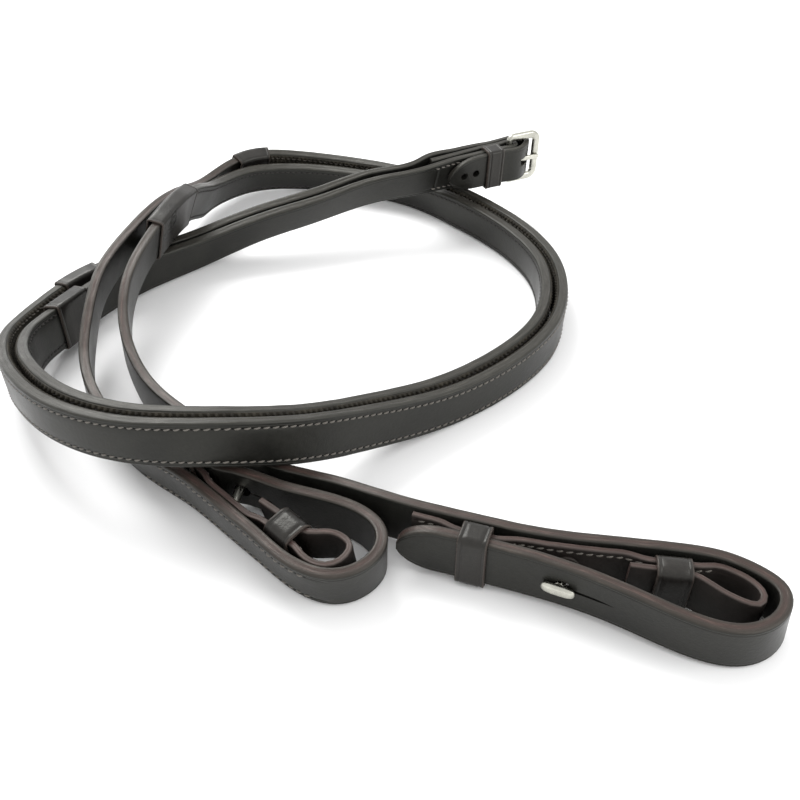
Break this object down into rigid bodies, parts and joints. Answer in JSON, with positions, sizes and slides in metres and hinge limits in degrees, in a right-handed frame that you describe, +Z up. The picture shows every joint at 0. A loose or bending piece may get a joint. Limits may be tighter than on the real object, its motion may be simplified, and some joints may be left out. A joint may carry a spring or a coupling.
{
  "type": "leather reins",
  "caption": "Pair of flat leather riding reins coiled on edge, joined by a buckle, with rubber-lined grips, leather stops and hook stud billets for the bit.",
  "frame": {"origin": "middle of the floor face of the bounding box, on the surface that the straps' lower edges stand on", "axes": "+Z up, across the width of the straps; +Y from the bit ends towards the buckle end, the longer side of the coil; +X to the right"},
  "size_m": [0.2984, 0.351, 0.0461],
  "materials": {
    "leather": "black-brown bridle leather, waxed",
    "inner_leather": "thinner leather with a rougher edge",
    "rubber": "dark pimpled grip rubber, matt",
    "nickel": "satin nickel plate"
  },
  "bodies": {
    "reins": {"left_rein_strap": "leather", "right_rein_strap": "leather", "left_upper_stop": "leather", "left_lower_stop": "leather", "right_upper_stop": "leather", "right_lower_stop": "leather", "left_billet_keeper": "leather", "right_billet_keeper": "leather", "left_loop_keeper": "leather", "right_loop_keeper": "leather", "buckle_keeper": "leather", "left_inner_loop": "inner_leather", "right_inner_loop": "inner_leather", "left_stud_plate": "inner_leather", "right_stud_plate": "inner_leather", "left_rubber_grip": "rubber", "right_rubber_grip": "rubber", "left_hook_stud": "nickel", "right_hook_stud": "nickel"},
    "frame": {"buckle_frame": "nickel"},
    "tongue": {"buckle_tongue": "nickel"}
  },
  "joints": [
    {"name": "frame_swing", "type": "hinge", "parent": "reins", "child": "frame", "pos_m": [0.08062, 0.13898, 0.03193], "axis": [0.0223, -0.0474, 0.9986], "range_deg": [0, 60]},
    {"name": "tongue_swing", "type": "hinge", "parent": "reins", "child": "tongue", "pos_m": [0.08062, 0.13898, 0.03193], "axis": [0.0223, -0.0474, 0.9986], "range_deg": [-2.5, 0]}
  ]
}
